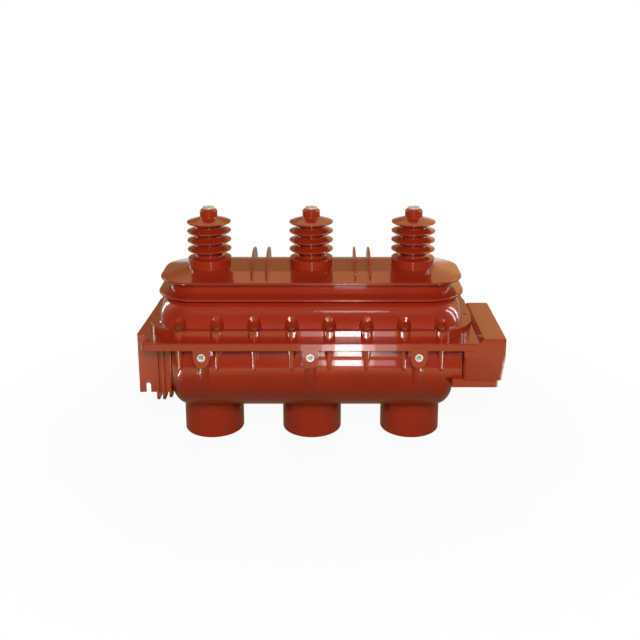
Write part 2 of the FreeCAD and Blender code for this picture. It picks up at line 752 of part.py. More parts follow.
def housing():
    """Mechanism housing: ramped head, drafted skirt, a set-back foot and a web that carries on the drum."""
    r = HOUSING_CORNER_R
    low_front = -HOUSING_FRONT + HOUSING_DRAFT
    head = rounded_block(HOUSING_HEAD_LEFT, HOUSING_RIGHT, -HOUSING_FRONT, HOUSING_REAR, r,
                         HOUSING_BAND_Z, HOUSING_TOP)
    rise = HOUSING_TOP - SPLIT_Z
    ramp = [V(HOUSING_HEAD_LEFT - 1, -HOUSING_FRONT, SPLIT_Z - 1),
            V(HOUSING_HEAD_LEFT - 1, -HOUSING_FRONT, HOUSING_TOP + 1),
            V(HOUSING_HEAD_LEFT + rise + 1, -HOUSING_FRONT, HOUSING_TOP + 1)]
    depth = HOUSING_FRONT + HOUSING_REAR
    head = head.cut(Part.Face(Part.makePolygon(ramp + ramp[:1])).extrude(V(0, depth, 0)))
    head = soften(head, EDGE_R, level_edge(HOUSING_TOP))
    neck = block(HOUSING_LEFT, HOUSING_HEAD_LEFT + r, -HOUSING_FRONT, HOUSING_REAR, HOUSING_BAND_Z, SPLIT_Z)
    skirt_body = Part.makeLoft([
        rounded_wire(HOUSING_LEFT, HOUSING_RIGHT, -HOUSING_FRONT, HOUSING_REAR, r, HOUSING_BAND_Z),
        rounded_wire(HOUSING_LEFT, HOUSING_RIGHT - HOUSING_DRAFT, low_front,
                     HOUSING_REAR - HOUSING_REAR_DRAFT, r, HOUSING_STEP_Z)], True, True)
    foot = rounded_block(HOUSING_STEP_LEFT, HOUSING_RIGHT - HOUSING_DRAFT - HOUSING_SETBACK,
                         low_front + HOUSING_SETBACK, HOUSING_REAR - HOUSING_SETBACK, r,
                         HOUSING_BOTTOM, HOUSING_STEP_Z)
    foot = soften(foot, EDGE_R, level_edge(HOUSING_BOTTOM))
    web = drum_section(WEB_SUNK, 0).extrude(V(HOUSING_LEFT + r, 0, 0))
    web = web.common(block(DRUM_RIGHT - 2 * DRUM_END_R, HOUSING_LEFT + r, -DRUM_HALF_Y, HOUSING_REAR - r,
                           HOUSING_STEP_Z, RAIL_BOTTOM + EDGE_R))
    return [head, neck, skirt_body, foot, web]


def housing_cavity():
    """Open to the right; its ceiling is lower beside the drum, under the flange."""
    front = -HOUSING_FRONT + HOUSING_DRAFT + HOUSING_WALL
    rear = HOUSING_REAR - HOUSING_WALL
    low = block(HOUSING_BACK_X, HOUSING_RIGHT, front, rear, HOUSING_FLOOR_Z, HOUSING_LOW_CEILING)
    high = block(HOUSING_HIGH_X, HOUSING_RIGHT, front, rear, HOUSING_FLOOR_Z, HOUSING_TOP - HOUSING_WALL)
    return low.fuse(high).removeSplitter()


def fixing_points():
    return [(y, z) for y in FIX_Y for z in FIX_Z]


def seal_ring(width, depth):
    outer = (SEAL_HALF_X + width / 2, SEAL_HALF_Y + width / 2, SEAL_CORNER_R + width / 2)
    inner = (SEAL_HALF_X - width / 2, SEAL_HALF_Y - width / 2, SEAL_CORNER_R - width / 2)
    ring_face = Part.Face(oblong(outer, SPLIT_Z - depth)).cut(Part.Face(oblong(inner, SPLIT_Z - depth)))
    return ring_face.extrude(V(0, 0, depth))


def seal_screw_points():
    points = []
    for angle in (SEAL_SCREW_ANGLE, 180 - SEAL_SCREW_ANGLE, 180 + SEAL_SCREW_ANGLE, -SEAL_SCREW_ANGLE):
        turn = math.radians(angle)
        points.append((SEAL_SCREW_AT * math.cos(turn), SHAFT_Z + SEAL_SCREW_AT * math.sin(turn)))
    return points


def rupture_screw_points():
    points = []
    for index in range(RUPTURE_SCREWS):
        turn = 2 * math.pi * (index + 0.5) / RUPTURE_SCREWS
        points.append((RUPTURE_X + RUPTURE_SCREW_AT * math.cos(turn),
                       DRUM_Z + RUPTURE_SCREW_AT * math.sin(turn)))
    return points


def make_lower_casing():
    shell = [lower_drum(0)] + lower_flange() + earth_lugs() + shrouds() + bracket() + housing()
    shell.append(cylinder(RUPTURE_PAD_R, RUPTURE_FACE_Y - 100, V(RUPTURE_X, 100, DRUM_Z), Y_AXIS))
    shell.append(cylinder(VALVE_BOSS_R, RUPTURE_FACE_Y - 100, V(VALVE_X, 100, DRUM_Z), Y_AXIS))
    outside = join(shell)
    bores = [cylinder(SHROUD_R - SHROUD_WALL, SHROUD_CEILING_Z, V(x, 0, 0)) for x in POLES]
    casing = cut_all(outside, [lower_drum(WALL), housing_cavity()] + bores)
    inner = [cylinder(FLOOR_BOSS_R, FLOOR_BOSS_Z - SHROUD_CEILING_Z - 10, V(x, 0, SHROUD_CEILING_Z + 10))
             for x in POLES]
    root = SHROUD_CEILING_Z + 4
    inner += [turned([(0, TERMINAL_FACE_Z, 0), (TERMINAL_BOSS_R, TERMINAL_FACE_Z, 1.5),
                      (TERMINAL_BOSS_ROOT_R, SHROUD_CEILING_Z, 0), (TERMINAL_BOSS_ROOT_R, root, 0),
                      (0, root, 0)], V(x, 0, 0)) for x in POLES]
    inner.append(cylinder(BEARING_BOSS_R, BEARING_BOSS_LENGTH + WALL / 2,
                          V(WALL / 2 - DRUM_LEFT, 0, SHAFT_Z), X_AXIS))
    inner.append(cylinder(DESICCANT_PAD_R, DESICCANT_PAD_Z - 70, V(DESICCANT_X, 0, 70)))
    inner += [cylinder(FIX_BOSS_R, FIX_BOSS_DEPTH, V(FIX_BOSS_FACE - FIX_BOSS_DEPTH, y, z), X_AXIS)
              for y, z in fixing_points()]
    casing = join([casing] + inner)
    holes = [seal_ring(SEAL_WIDTH, SEAL_DEPTH)]
    for x, y in bolt_positions():
        holes.append(cylinder(INSERT_R, INSERT_LENGTH, V(x, y, SPLIT_Z - INSERT_LENGTH)))
    for x in (-PIN_X, PIN_X):
        for y in (-PIN_Y, PIN_Y):
            holes.append(cylinder(PIN_R, PIN_DEPTH, V(x, y, SPLIT_Z - PIN_DEPTH)))
    holes.append(cylinder(CORNER_HOLE_R, LOWER_FLANGE_T, V(-CORNER_HOLE_X, -CORNER_HOLE_Y, RAIL_BOTTOM)))
    for x in POLES:
        holes.append(cylinder(TERMINAL_R, FLOOR_BOSS_Z - TERMINAL_FACE_Z, V(x, 0, TERMINAL_FACE_Z)))
        holes.append(cylinder(EARTH_R, RAIL_FRONT, V(x, -RAIL_FRONT - LUG_PROUD, LUG_Z), Y_AXIS))
        for side in (-1, 1):
            line_x = x + side * JOINT_LINE_X
            holes.append(block(line_x - JOINT_LINE_W / 2, line_x + JOINT_LINE_W / 2, -RAIL_FRONT - 1,
                               -RAIL_FRONT + JOINT_LINE_DEPTH, LUG_Z + LUG_HALF_W, SPLIT_Z))
    holes.append(cylinder(BUSH_R, BUSH_LENGTH, V(BUSH_FACE - BUSH_LENGTH, 0, SHAFT_Z), X_AXIS))
    holes.append(cylinder(SEAL_SPIGOT_R, HOUSING_BACK_X - SPIGOT_FACE, V(SPIGOT_FACE, 0, SHAFT_Z), X_AXIS))
    for y, z in seal_screw_points():
        holes.append(cylinder(SEAL_SCREW_R, SEAL_SCREW_LENGTH - SEAL_FLANGE_T,
                              V(HOUSING_BACK_X - SEAL_SCREW_LENGTH + SEAL_FLANGE_T, y, z), X_AXIS))
    for y, z in fixing_points():
        holes.append(cylinder(FIX_INSERT_R, FIX_INSERT_LENGTH,
                              V(FIX_BOSS_FACE - FIX_INSERT_LENGTH, y, z), X_AXIS))
    holes.append(cylinder(RUPTURE_BORE_R, RUPTURE_FACE_Y, V(RUPTURE_X, RUPTURE_FACE_Y / 2, DRUM_Z), Y_AXIS))
    holes.append(cylinder(RUPTURE_SEAT_R, RUPTURE_SEAT_DEPTH,
                          V(RUPTURE_X, RUPTURE_FACE_Y - RUPTURE_SEAT_DEPTH, DRUM_Z), Y_AXIS))
    for x, z in rupture_screw_points():
        depth = RUPTURE_SCREW_LENGTH - RUPTURE_RING_T
        holes.append(cylinder(RUPTURE_SCREW_R, depth, V(x, RUPTURE_FACE_Y - depth, z), Y_AXIS))
    holes.append(cylinder(VALVE_THREAD_R, RUPTURE_FACE_Y / 2, V(VALVE_X, RUPTURE_FACE_Y / 2, DRUM_Z), Y_AXIS))
    return cut_all(casing, holes)


# Pieces that join the castings

def make_flange_screws():
    seat = FLANGE_TOP - COUNTERBORE_DEPTH + WASHER_T
    return [cap_screw(SCREW_R, SCREW_LENGTH, SCREW_HEAD_R, SCREW_HEAD_H, V(x, y, seat), Z_AXIS)
            for x, y in bolt_positions()]


def make_flange_washers():
    return [ring(WASHER_R, SCREW_HOLE_R, WASHER_T, V(x, y, FLANGE_TOP - COUNTERBORE_DEPTH))
            for x, y in bolt_positions()]


def make_flange_inserts():
    return [ring(INSERT_R, SCREW_R, INSERT_LENGTH, V(x, y, SPLIT_Z - INSERT_LENGTH))
            for x, y in bolt_positions()]


def make_locating_pins():
    length = UPPER_FLANGE_T + PIN_DEPTH - PIN_SUNK
    return [cylinder(PIN_R, length, V(x, y, SPLIT_Z - PIN_DEPTH)) for x in (-PIN_X, PIN_X)
            for y in (-PIN_Y, PIN_Y)]


# Current path

def make_top_terminals():
    terminals = []
    for x in POLES:
        rod = turned([(0, ROD_END_Z, 0), (ROD_R, ROD_END_Z, 0), (ROD_R, KNOB_TOP_Z, 0),
                      (CAP_R, KNOB_TOP_Z, 0), (CAP_R, CAP_TOP_Z, 0.8), (TOP_THREAD_R + 1.2, CAP_TOP_Z, 0),
                      (TOP_THREAD_R, CAP_TOP_Z - 1.2, 0), (TOP_THREAD_R, CAP_TOP_Z - TOP_THREAD_DEPTH, 0),
                      (0, CAP_TOP_Z - TOP_THREAD_DEPTH - 3, 0)], V(x, 0, 0))
        terminals.append(rod)
    return terminals


def knife(x, length):
    """Fixed contact blade on a round foot, drawn hanging down from its foot's back at Z zero."""
    foot = cylinder(CONTACT_FOOT_R, CONTACT_FOOT_T, V(x, 0, -CONTACT_FOOT_T))
    half = KNIFE_T / 2
    plate = block(x - half, x + half, -CONTACT_HALF_W, CONTACT_HALF_W, -length, -CONTACT_FOOT_T)
    tips = [edge for edge in plate.Edges if abs(edge.BoundBox.ZMax + length) < 1e-6
            and edge.BoundBox.YLength > 1]
    plate = plate.makeChamfer(half * 0.5, tips)
    return foot.fuse(plate).removeSplitter()


def make_upper_contacts():
    contacts = []
    for x in POLES:
        piece = knife(x, ROD_END_Z - SHAFT_Z - BLADE_TIP_R + CONTACT_OVERLAP)
        piece.translate(V(0, 0, ROD_END_Z))
        contacts.append(piece)
    return contacts


def make_earth_contacts():
    contacts = []
    for x in POLES:
        piece = knife(x, EARTH_FOOT_FACE - BLADE_TIP_R + CONTACT_OVERLAP)
        piece.rotate(V(x, 0, 0), X_AXIS, 90)
        piece.translate(V(0, -EARTH_FOOT_FACE, LUG_Z))
        contacts.append(piece)
    return contacts


def make_earth_inserts():
    inserts = []
    front = RAIL_FRONT + LUG_PROUD + EARTH_PROUD
    length = front - EARTH_FOOT_FACE
    bottom = length - EARTH_THREAD_DEPTH
    profile = [(0, 0, 0), (EARTH_R, 0, 0), (EARTH_R, length, 0.6), (EARTH_THREAD_R + 1, length, 0),
               (EARTH_THREAD_R, length - 1, 0), (EARTH_THREAD_R, bottom, 0), (0, bottom - 2.5, 0)]
    for x in POLES:
        inserts.append(turned(profile, V(x, -EARTH_FOOT_FACE, LUG_Z), V(0, -1, 0)))
    return inserts


def make_lower_terminals():
    top = FLOOR_BOSS_Z + TERMINAL_FLANGE_T
    drilled = TERMINAL_FACE_Z + TERMINAL_THREAD_DEPTH
    profile = [(0, drilled + 4, 0), (TERMINAL_THREAD_R, drilled, 0),
               (TERMINAL_THREAD_R, TERMINAL_FACE_Z + 1.5, 0), (TERMINAL_THREAD_R + 1.5, TERMINAL_FACE_Z, 0),
               (TERMINAL_R, TERMINAL_FACE_Z, 0), (TERMINAL_R, FLOOR_BOSS_Z, 0),
               (TERMINAL_FLANGE_R, FLOOR_BOSS_Z, 0), (TERMINAL_FLANGE_R, top, 1.0), (0, top, 0)]
    terminals = []
    for x in POLES:
        rod = turned(profile, V(x, 0, 0))
        holes = [cylinder(FOOT_SCREW_R, TERMINAL_FLANGE_T, V(x + side * FOOT_SCREW_AT, 0, FLOOR_BOSS_Z))
                 for side in (-1, 1)]
        terminals.append(cut_all(rod, holes))
    return terminals


def make_lower_contacts():
    """Saddles: a foot, an upright stem and a ring open at the top, for the blade hubs to slide on."""
    base = FLOOR_BOSS_Z + TERMINAL_FLANGE_T
    half = KNIFE_T / 2
    contacts = []
    for x in POLES:
        foot = cylinder(TERMINAL_FLANGE_R, CONTACT_FOOT_T, V(x, 0, base))
        stem = block(x - half, x + half, -STEM_HALF_W, STEM_HALF_W, base, SHAFT_Z)
        disc = cylinder(SADDLE_R, KNIFE_T, V(x - half, 0, SHAFT_Z), X_AXIS)
        bore = cylinder(SADDLE_SLOT, KNIFE_T, V(x - half, 0, SHAFT_Z), X_AXIS)
        slot = block(x - half, x + half, -SADDLE_SLOT, SADDLE_SLOT, SHAFT_Z, SHAFT_Z + SADDLE_R)
        trim = block(x - half, x + half, -SADDLE_R, SADDLE_R, SHAFT_Z + SADDLE_RISE, SHAFT_Z + SADDLE_R)
        piece = fuse_all([foot, stem, disc])
        holes = [cylinder(FOOT_SCREW_R, CONTACT_FOOT_T, V(x + side * FOOT_SCREW_AT, 0, base))
                 for side in (-1, 1)]
        contacts.append(cut_all(piece, [bore, slot, trim] + holes))
    return contacts


def make_contact_screws():
    seat = FLOOR_BOSS_Z + TERMINAL_FLANGE_T + CONTACT_FOOT_T
    return [cap_screw(FOOT_SCREW_R, CONTACT_FOOT_T + TERMINAL_FLANGE_T, FOOT_SCREW_HEAD_R, FOOT_SCREW_HEAD_H,
                      V(x + side * FOOT_SCREW_AT, 0, seat), Z_AXIS) for x in POLES for side in (-1, 1)]


# Rotor

def make_main_shaft():
    hex_bar = hexagon(HEX_AF, SHAFT_HEX_RIGHT - SHAFT_HEX_LEFT, V(SHAFT_HEX_LEFT, 0, SHAFT_Z), X_AXIS)
    left_end = BUSH_FACE - BUSH_LENGTH + END_PLAY
    left = cylinder(JOURNAL_R, SHAFT_HEX_LEFT - left_end, V(left_end, 0, SHAFT_Z), X_AXIS)
    right = cylinder(JOURNAL_R, DRIVE_LEFT - SHAFT_HEX_RIGHT, V(SHAFT_HEX_RIGHT, 0, SHAFT_Z), X_AXIS)
    half = DRIVE_SQUARE / 2
    drive = block(DRIVE_LEFT, DRIVE_LEFT + LEVER_T, -half, half, SHAFT_Z - half, SHAFT_Z + half)
    drive.rotate(V(0, 0, SHAFT_Z), X_AXIS, LEVER_DROP)
    shaft = fuse_all([hex_bar, left, right, drive])
    tip = DRIVE_LEFT + LEVER_T
    shaft = shaft.cut(cylinder(LEVER_SCREW_R, LEVER_SCREW_LENGTH - LEVER_WASHER_T,
                               V(tip - LEVER_SCREW_LENGTH + LEVER_WASHER_T, 0, SHAFT_Z), X_AXIS))
    return [shaft]


def blade_faces(x):
    """Left faces of the two blades of a pole, and the side each stands on."""
    inner = KNIFE_T / 2 + SLIDE_GAP
    return [(x - inner - BLADE_T, -1), (x + inner, 1)]


def make_moving_blades():
    blades = []
    for x in POLES:
        for left, _ in blade_faces(x):
            hub = cylinder(HUB_R, BLADE_T, V(left, 0, SHAFT_Z), X_AXIS)
            arm = block(left, left + BLADE_T, -BLADE_HALF_W, BLADE_HALF_W, SHAFT_Z,
                        SHAFT_Z + BLADE_TIP_R)
            corners = [edge for edge in arm.Edges if edge.BoundBox.ZMin > SHAFT_Z + BLADE_TIP_R - 1
                       and edge.BoundBox.XLength > 1]
            arm = arm.makeFillet(BLADE_HALF_W * 0.6, corners)
            blade = hub.fuse(arm).removeSplitter()
            bore = hexagon(HEX_AF + 2 * HEX_GAP, BLADE_T, V(left, 0, SHAFT_Z), X_AXIS)
            hole = cylinder(PRESS_BOLT_R, BLADE_T, V(left, 0, SHAFT_Z + PRESS_BOLT_AT), X_AXIS)
            blades.append(at_rest(blade.cut(hole)).cut(bore))
    return blades


def make_blade_collars():
    collars = []
    for x in POLES:
        for left, side in blade_faces(x):
            start = left + BLADE_T if side > 0 else left - COLLAR_T
            body = cylinder(COLLAR_OUT_R, COLLAR_T, V(start, 0, SHAFT_Z), X_AXIS)
            collars.append(body.cut(hexagon(HEX_AF + 2 * HEX_GAP, COLLAR_T, V(start, 0, SHAFT_Z), X_AXIS)))
    return collars


def press_axis(x):
    """Half width across a blade pair and the centre of its pressure bolt."""
    return KNIFE_T / 2 + SLIDE_GAP + BLADE_T, V(x, 0, SHAFT_Z + PRESS_BOLT_AT)


def make_blade_spacers():
    length = KNIFE_T + 2 * SLIDE_GAP
    height = SHAFT_Z + PRESS_BOLT_AT
    return [at_rest(ring(SPACER_R, PRESS_BOLT_R, length, V(x - length / 2, 0, height), X_AXIS))
            for x in POLES]


def make_disc_springs():
    springs = []
    for x in POLES:
        half, centre = press_axis(x)
        for side in (-1, 1):
            cone = turned([(PRESS_BOLT_R, SPRING_T - 0.9, 0), (SPRING_R, 0, 0), (SPRING_R, 0.9, 0),
                           (PRESS_BOLT_R, SPRING_T, 0)], centre + V(side * half, 0, 0), V(side, 0, 0))
            springs.append(at_rest(cone))
    return springs


def make_blade_bolts():
    bolts = []
    for x in POLES:
        half, centre = press_axis(x)
        seat = half + SPRING_T
        shank = cylinder(PRESS_BOLT_R, 2 * seat + PRESS_HEAD_H, centre - V(seat + PRESS_HEAD_H, 0, 0), X_AXIS)
        head = hexagon(2 * PRESS_HEAD_R, PRESS_HEAD_H, centre + V(seat, 0, 0), X_AXIS)
        bolts.append(at_rest(shank.fuse(head).removeSplitter()))
    return bolts


def make_blade_nuts():
    nuts = []
    for x in POLES:
        half, centre = press_axis(x)
        start = centre - V(half + SPRING_T + PRESS_HEAD_H, 0, 0)
        nut = hexagon(2 * PRESS_HEAD_R, PRESS_HEAD_H, start, X_AXIS)
        nuts.append(at_rest(nut.cut(cylinder(PRESS_BOLT_R, PRESS_HEAD_H, start, X_AXIS))))
    return nuts


# Bearings, seals and drive

def make_left_bush():
    return [ring(BUSH_R, JOURNAL_R + RUN_GAP, BUSH_LENGTH, V(BUSH_FACE - BUSH_LENGTH, 0, SHAFT_Z), X_AXIS)]


def shaft_seals():
    """Rings in grooves of the seal housing's bore, against the journal."""
    return [ring(JOURNAL_R + SHAFT_SEAL_DEPTH, JOURNAL_R + RUN_GAP, SHAFT_SEAL_W,
                 V(SPIGOT_FACE + inward, 0, SHAFT_Z), X_AXIS) for inward in SHAFT_SEAL_IN]


def spigot_seal():
    """Ring in a groove round the spigot, against its bore in the casing."""
    start = V(HOUSING_BACK_X - SPIGOT_SEAL_OUT - SPIGOT_SEAL_W, 0, SHAFT_Z)
    return ring(SEAL_SPIGOT_R, SEAL_SPIGOT_R - SPIGOT_SEAL_DEPTH, SPIGOT_SEAL_W, start, X_AXIS)


def make_seal_housing():
    spigot = cylinder(SEAL_SPIGOT_R, HOUSING_BACK_X - SPIGOT_FACE, V(SPIGOT_FACE, 0, SHAFT_Z), X_AXIS)
    flange = cylinder(SEAL_FLANGE_R, SEAL_FLANGE_T, V(HOUSING_BACK_X, 0, SHAFT_Z), X_AXIS)
    flats = block(HOUSING_BACK_X, HOUSING_BACK_X + SEAL_FLANGE_T, -SEAL_FLANGE_R, SEAL_FLANGE_R,
                  SHAFT_Z - SEAL_FLAT, SHAFT_Z + SEAL_FLAT)
    body = spigot.fuse(flange.common(flats)).removeSplitter()
    length = HOUSING_BACK_X + SEAL_FLANGE_T - SPIGOT_FACE
    cuts = [cylinder(JOURNAL_R + RUN_GAP, length, V(SPIGOT_FACE, 0, SHAFT_Z), X_AXIS)]
    cuts += [cylinder(SEAL_SCREW_R + 0.3, SEAL_FLANGE_T, V(HOUSING_BACK_X, y, z), X_AXIS)
             for y, z in seal_screw_points()]
    return [cut_all(body, cuts + shaft_seals() + [spigot_seal()])]


def make_seal_housing_screws():
    seat = HOUSING_BACK_X + SEAL_FLANGE_T
    return [cap_screw(SEAL_SCREW_R, SEAL_SCREW_LENGTH, SEAL_SCREW_HEAD_R, SEAL_SCREW_HEAD_H,
                      V(seat, y, z), X_AXIS) for y, z in seal_screw_points()]


def lever_eye():
    turn = math.radians(LEVER_DROP)
    return V(DRIVE_LEFT, -LEVER_ARM * math.cos(turn), SHAFT_Z - LEVER_ARM * math.sin(turn))


def make_drive_lever():
    """Forged lever: hub and eye joined by tapering cheeks, on the square end of the shaft."""
    hub_at = V(DRIVE_LEFT, 0, SHAFT_Z)
    eye_at = lever_eye()
    along = (eye_at - hub_at).normalize()
    across = V(0, along.z, -along.y)
    lean = math.asin((LEVER_HUB_R - LEVER_EYE_R) / LEVER_ARM)
    corners = []
    for side in (1, -1):
        normal = across * (side * math.cos(lean)) + along * math.sin(lean)
        pair = [hub_at + normal * LEVER_HUB_R, eye_at + normal * LEVER_EYE_R]
        corners += pair if side > 0 else pair[::-1]
    web = Part.Face(Part.makePolygon(corners + corners[:1])).extrude(V(LEVER_T, 0, 0))
    body = fuse_all([cylinder(LEVER_HUB_R, LEVER_T, hub_at, X_AXIS), web,
                     cylinder(LEVER_EYE_R, LEVER_T, eye_at, X_AXIS)])
    half = DRIVE_SQUARE / 2 + HEX_GAP
    square = block(DRIVE_LEFT, DRIVE_LEFT + LEVER_T, -half, half, SHAFT_Z - half, SHAFT_Z + half)
    square.rotate(V(0, 0, SHAFT_Z), X_AXIS, LEVER_DROP)
    return [cut_all(body, [square, cylinder(LEVER_SHANK_R, LEVER_T, eye_at, X_AXIS)])]


def make_lever_pin():
    """Shouldered pin: its shank is pressed into the eye and its shoulder seats on the lever's face."""
    eye_at = lever_eye()
    journal = cylinder(LEVER_PIN_R, LEVER_PIN_OUT, eye_at + V(LEVER_T, 0, 0), X_AXIS)
    far = [edge for edge in journal.Edges if edge.BoundBox.XMin > eye_at.x + LEVER_T + 1]
    return [journal.makeChamfer(1.0, far).fuse(cylinder(LEVER_SHANK_R, LEVER_T, eye_at, X_AXIS))]


def make_lever_washer():
    start = V(DRIVE_LEFT + LEVER_T, 0, SHAFT_Z)
    return [ring(LEVER_WASHER_R, LEVER_SCREW_R + 0.4, LEVER_WASHER_T, start, X_AXIS)]


def make_lever_screw():
    seat = V(DRIVE_LEFT + LEVER_T + LEVER_WASHER_T, 0, SHAFT_Z)
    return [cap_screw(LEVER_SCREW_R, LEVER_SCREW_LENGTH, SCREW_HEAD_R, SCREW_HEAD_H, seat, X_AXIS)]


# Arc quenching

def arc_plane(radius, angle, x=0.0):
    turn = math.radians(angle)
    return V(x, -radius * math.sin(turn), SHAFT_Z + radius * math.cos(turn))


def make_arc_plates():
    """Steel plates fanned about the shaft, each slotted for the blade tips."""
    plates = []
    for x in POLES:
        for angle in ARC_ANGLES:
            plate = block(x - ARC_HALF_W, x + ARC_HALF_W, -ARC_T / 2, ARC_T / 2,
                          SHAFT_Z + ARC_INNER_R, SHAFT_Z + ARC_OUTER_R)
            slot = block(x - ARC_SLOT_HALF, x + ARC_SLOT_HALF, -ARC_T / 2, ARC_T / 2,
                         SHAFT_Z + ARC_INNER_R, SHAFT_Z + ARC_INNER_R + ARC_SLOT_DEPTH)
            piece = plate.cut(slot)
            piece.rotate(V(x, 0, SHAFT_Z), X_AXIS, angle)
            plates.append(piece)
    return plates


def make_arc_frames():
    """Insulating frames: a bridge clamped under the roof boss and two cheeks that hold the plates."""
    top = ROD_END_Z + FRAME_T
    first = ARC_ANGLES[0] - 4
    last = ARC_ANGLES[-1] + 4
    low_near = arc_plane(ARC_INNER_R - 3, first)
    low_far = arc_plane(ARC_INNER_R - 3, last)
    high_far = arc_plane(ARC_OUTER_R, last)
    high_near = arc_plane(ARC_OUTER_R, first)
    frames = []
    for x in POLES:
        bridge = block(x - ARC_HALF_W - FRAME_T, x + ARC_HALF_W + FRAME_T, -ARC_BRIDGE_OUT,
                       CONTACT_FOOT_R, ROD_END_Z, top)
        bridge = bridge.cut(cylinder(ROD_R, FRAME_T, V(x, 0, ROD_END_Z)))
        outline = [low_near, low_far, high_far, V(0, -ARC_BRIDGE_OUT, top), V(0, high_near.y, top)]
        cheeks = []
        for left in (x - ARC_HALF_W - FRAME_T, x + ARC_HALF_W):
            face = Part.Face(Part.makePolygon(outline + outline[:1]))
            cheek = face.extrude(V(FRAME_T, 0, 0))
            cheek.translate(V(left, 0, 0))
            cheeks.append(cheek)
        frames.append(fuse_all([bridge] + cheeks))
    return frames


# Pressure relief, gas filling and drying

def rear_point(x, y=RUPTURE_FACE_Y):
    return V(x, y, DRUM_Z)


def make_rupture_gasket():
    start = rear_point(RUPTURE_X, RUPTURE_FACE_Y - RUPTURE_SEAT_DEPTH)
    return [ring(RUPTURE_SEAT_R, RUPTURE_BORE_R, RUPTURE_GASKET_T, start, Y_AXIS)]


def make_rupture_disc():
    """Thin domed disc with a flat rim, held between the gasket and the ring."""
    start = rear_point(RUPTURE_X, RUPTURE_FACE_Y - RUPTURE_SEAT_DEPTH + RUPTURE_GASKET_T)
    t = RUPTURE_DISC_T
    flat = RUPTURE_BORE_R - 2
    points = [(0, RUPTURE_DOME, 0), (flat * 0.55, RUPTURE_DOME, 8.0), (flat, 0, 3.0), (RUPTURE_SEAT_R, 0, 0),
              (RUPTURE_SEAT_R, t, 0), (flat, t, 3.0), (flat * 0.55, RUPTURE_DOME + t, 8.0),
              (0, RUPTURE_DOME + t, 0)]
    return [turned(points, start, Y_AXIS)]


def make_rupture_ring():
    body = turned([(RUPTURE_BORE_R, 0, 0), (RUPTURE_PAD_R, 0, 0), (RUPTURE_PAD_R, RUPTURE_RING_T, 1.5),
                   (RUPTURE_BORE_R, RUPTURE_RING_T, 1.5)], rear_point(RUPTURE_X), Y_AXIS)
    holes = [cylinder(RUPTURE_SCREW_R + 0.3, RUPTURE_RING_T, V(x, RUPTURE_FACE_Y, z), Y_AXIS)
             for x, z in rupture_screw_points()]
    return [cut_all(body, holes)]


def make_rupture_screws():
    seat = RUPTURE_FACE_Y + RUPTURE_RING_T
    return [cap_screw(RUPTURE_SCREW_R, RUPTURE_SCREW_LENGTH, RUPTURE_SCREW_HEAD_R, RUPTURE_SCREW_HEAD_H,
                      V(x, seat, z), Y_AXIS) for x, z in rupture_screw_points()]


def make_gas_valve():
    face = rear_point(VALVE_X)
    inside = rear_point(VALVE_X, DRUM_HALF_Y - WALL)
    hexagonal = hexagon(VALVE_HEX_AF, VALVE_HEX_T, face, Y_AXIS)
    threaded = cylinder(VALVE_THREAD_R, face.y - inside.y, inside, Y_AXIS)
    stem = cylinder(VALVE_STEM_R, VALVE_HEX_T + VALVE_STEM_OUT, face, Y_AXIS)
    length = VALVE_HEX_T + VALVE_STEM_OUT + face.y - inside.y
    return [fuse_all([hexagonal, threaded, stem]).cut(cylinder(VALVE_BORE_R, length, inside, Y_AXIS))]


def make_valve_cap():
    start = rear_point(VALVE_X, RUPTURE_FACE_Y + VALVE_HEX_T)
    profile = [(VALVE_STEM_R, 0, 0), (VALVE_CAP_R, 0, 0.8), (VALVE_CAP_R, VALVE_CAP_H, 1.5),
               (0, VALVE_CAP_H, 0), (0, VALVE_STEM_OUT, 0), (VALVE_STEM_R, VALVE_STEM_OUT, 0)]
    return [turned(profile, start, Y_AXIS)]


def make_desiccant_cartridge():
    return [turned([(0, 0, 0), (DESICCANT_R, 0, 1.5), (DESICCANT_R, DESICCANT_H, 3.0), (0, DESICCANT_H, 0)],
                   V(DESICCANT_X, 0, DESICCANT_PAD_Z))]


def make_mechanism_inserts():
    left = FIX_BOSS_FACE - FIX_INSERT_LENGTH
    return [ring(FIX_INSERT_R, FIX_THREAD_R, FIX_INSERT_LENGTH, V(left, y, z), X_AXIS)
            for y, z in fixing_points()]


NODES = {
    "upper_casing": lambda: [make_upper_casing()],
    "lower_casing": lambda: [make_lower_casing()],
    "casing_seal": lambda: [seal_ring(SEAL_WIDTH, SEAL_DEPTH)],
    "flange_screws": make_flange_screws,
    "flange_washers": make_flange_washers,
    "flange_inserts": make_flange_inserts,
    "locating_pins": make_locating_pins,
    "top_terminals": make_top_terminals,
    "upper_contacts": make_upper_contacts,
    "lower_terminals": make_lower_terminals,
    "lower_contacts": make_lower_contacts,
    "lower_contact_screws": make_contact_screws,
    "earth_inserts": make_earth_inserts,
    "earth_contacts": make_earth_contacts,
    "main_shaft": make_main_shaft,
    "moving_blades": make_moving_blades,
    "blade_collars": make_blade_collars,
    "blade_spacers": make_blade_spacers,
    "disc_springs": make_disc_springs,
    "blade_bolts": make_blade_bolts,
    "blade_nuts": make_blade_nuts,
    "left_bush": make_left_bush,
    "seal_housing": make_seal_housing,
    "shaft_seals": shaft_seals,
    "spigot_seal": lambda: [spigot_seal()],
    "seal_housing_screws": make_seal_housing_screws,
    "drive_lever": make_drive_lever,
    "lever_pin": make_lever_pin,
    "lever_washer": make_lever_washer,
    "lever_screw": make_lever_screw,
    "arc_plates": make_arc_plates,
    "arc_frames": make_arc_frames,
    "rupture_gasket": make_rupture_gasket,
    "rupture_disc": make_rupture_disc,
    "rupture_ring": make_rupture_ring,
    "rupture_screws": make_rupture_screws,
    "gas_valve": make_gas_valve,
    "valve_cap": make_valve_cap,
    "desiccant_cartridge": make_desiccant_cartridge,
    "mechanism_inserts": make_mechanism_inserts,
}


